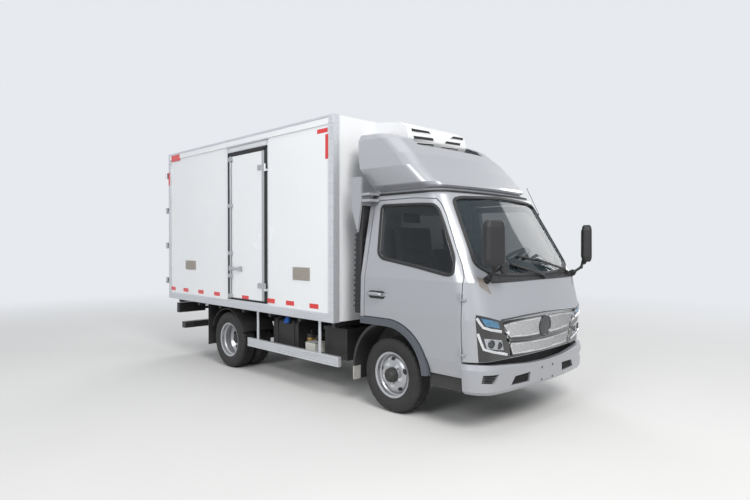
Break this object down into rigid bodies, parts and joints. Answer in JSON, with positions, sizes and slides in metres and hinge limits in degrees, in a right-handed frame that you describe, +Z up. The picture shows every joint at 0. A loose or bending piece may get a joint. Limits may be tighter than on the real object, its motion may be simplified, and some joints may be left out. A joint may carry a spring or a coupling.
{
  "type": "refrigerated box truck",
  "caption": "Light refrigerated truck with a tilting cab, wind deflector, insulated box with hinged side and rear doors, cooling unit and twin rear wheels.",
  "frame": {"origin": "on the ground under the middle of the truck's overall length and width", "axes": "+X forward along the truck, +Y to its left, +Z up"},
  "size_m": [5.612, 2.076, 2.8799],
  "materials": {
    "chassis_black": "satin black paint",
    "cast_black": "black painted casting",
    "spring_steel": "dull dark paint",
    "engine_grey": "grey casting",
    "tank_metal": "black paint",
    "black_plastic": "matt black",
    "exhaust_steel": "dull steel",
    "guard_aluminium": "satin extrusion",
    "tail_lamp_red": "clear red lens",
    "box_white": "white gloss skin",
    "stainless": "brushed stainless steel",
    "trim_aluminium": "satin extrusion",
    "unit_white": "white gloss",
    "cab_silver": "silver metallic",
    "window_glass": "clear, slightly tinted",
    "arch_plastic": "grey textured plastic",
    "grille_black": "dark grey",
    "lamp_clear": "clear lamp lens",
    "interior_plastic": "dark grey",
    "seat_fabric": "dark woven cloth",
    "tyre_rubber": "black rubber",
    "rim_silver": "silver paint"
  },
  "bodies": {
    "chassis": {"frame_rails": "chassis_black", "cross_members": "chassis_black", "box_sills": "chassis_black", "front_axle": "cast_black", "rear_axle": "cast_black", "leaf_springs": "spring_steel", "driveline": "engine_grey", "fuel_tank": "tank_metal", "battery_box": "black_plastic", "urea_tank": "black_plastic", "silencer": "exhaust_steel", "side_guards": "guard_aluminium", "rear_guard": "chassis_black", "tail_lamps": "tail_lamp_red", "rear_mudguards": "black_plastic", "box_floor": "box_white", "box_roof": "box_white", "box_front_wall": "box_white", "box_wall_right": "box_white", "box_wall_left": "box_white", "box_rear_frame": "stainless", "box_trim": "trim_aluminium", "reefer_unit": "unit_white"},
    "side_door": {"side_door": "box_white", "side_door_hardware": "stainless"},
    "rear_door_right": {"rear_door_right": "box_white", "rear_door_right_hardware": "stainless"},
    "rear_door_left": {"rear_door_left": "box_white", "rear_door_left_hardware": "stainless"},
    "cab": {"cab_shell": "cab_silver", "cab_glass": "window_glass", "cab_floor": "chassis_black", "front_arches": "arch_plastic", "wheel_housings": "black_plastic", "bumper": "cab_silver", "bumper_inserts": "black_plastic", "grille": "grille_black", "headlamps": "lamp_clear", "cowl": "black_plastic", "mirrors": "black_plastic", "dashboard": "interior_plastic", "seats": "seat_fabric", "fairing": "cab_silver", "gap_shields": "cab_silver", "snorkel": "black_plastic"},
    "cab_door_left": {"cab_door_left": "cab_silver", "door_glass_left": "window_glass"},
    "cab_door_right": {"cab_door_right": "cab_silver", "door_glass_right": "window_glass"},
    "knuckle_left": {"knuckle_left": "cast_black"},
    "knuckle_right": {"knuckle_right": "cast_black"},
    "front_wheel_left": {"front_tyre_left": "tyre_rubber", "front_rim_left": "rim_silver"},
    "front_wheel_right": {"front_tyre_right": "tyre_rubber", "front_rim_right": "rim_silver"},
    "rear_wheels_left": {"rear_tyres_left": "tyre_rubber", "rear_rims_left": "rim_silver"},
    "rear_wheels_right": {"rear_tyres_right": "tyre_rubber", "rear_rims_right": "rim_silver"}
  },
  "joints": [
    {"name": "cab_tilt", "type": "hinge", "parent": "chassis", "child": "cab", "pos_m": [2.57, 0, 0.45], "axis": [0, 1, 0], "range_deg": [0, 45]},
    {"name": "cab_door_left_swing", "type": "hinge", "parent": "cab", "child": "cab_door_left", "pos_m": [2.4885, 0.94, 0.9], "axis": [0, 0, -1], "range_deg": [0, 65]},
    {"name": "cab_door_right_swing", "type": "hinge", "parent": "cab", "child": "cab_door_right", "pos_m": [2.4885, -0.94, 0.9], "axis": [0, 0, 1], "range_deg": [0, 65]},
    {"name": "side_door_swing", "type": "hinge", "parent": "chassis", "child": "side_door", "pos_m": [-0.225, -1.025, 1.5], "axis": [0, 0, 1], "range_deg": [0, 165]},
    {"name": "rear_door_right_swing", "type": "hinge", "parent": "chassis", "child": "rear_door_right", "pos_m": [-2.793, -1.025, 1.5], "axis": [0, 0, 1], "range_deg": [0, 265]},
    {"name": "rear_door_left_swing", "type": "hinge", "parent": "chassis", "child": "rear_door_left", "pos_m": [-2.793, 1.025, 1.5], "axis": [0, 0, -1], "range_deg": [0, 265]},
    {"name": "steer_left", "type": "hinge", "parent": "chassis", "child": "knuckle_left", "pos_m": [1.645, 0.7, 0.352], "axis": [0, 0, 1], "range_deg": [-35, 35]},
    {"name": "steer_right", "type": "hinge", "parent": "chassis", "child": "knuckle_right", "pos_m": [1.645, -0.7, 0.352], "axis": [0, 0, 1], "range_deg": [-35, 35]},
    {"name": "front_wheel_left_spin", "type": "hinge", "parent": "knuckle_left", "child": "front_wheel_left", "pos_m": [1.645, 0.79, 0.352], "axis": [0, 1, 0], "continuous": true},
    {"name": "front_wheel_right_spin", "type": "hinge", "parent": "knuckle_right", "child": "front_wheel_right", "pos_m": [1.645, -0.79, 0.352], "axis": [0, 1, 0], "continuous": true},
    {"name": "rear_wheels_left_spin", "type": "hinge", "parent": "chassis", "child": "rear_wheels_left", "pos_m": [-1.155, 0.75, 0.352], "axis": [0, 1, 0], "continuous": true},
    {"name": "rear_wheels_right_spin", "type": "hinge", "parent": "chassis", "child": "rear_wheels_right", "pos_m": [-1.155, -0.75, 0.352], "axis": [0, 1, 0], "continuous": true}
  ],
  "couplings": [
    {"joint": "steer_right", "follows": "steer_left", "ratio": 1}
  ]
}
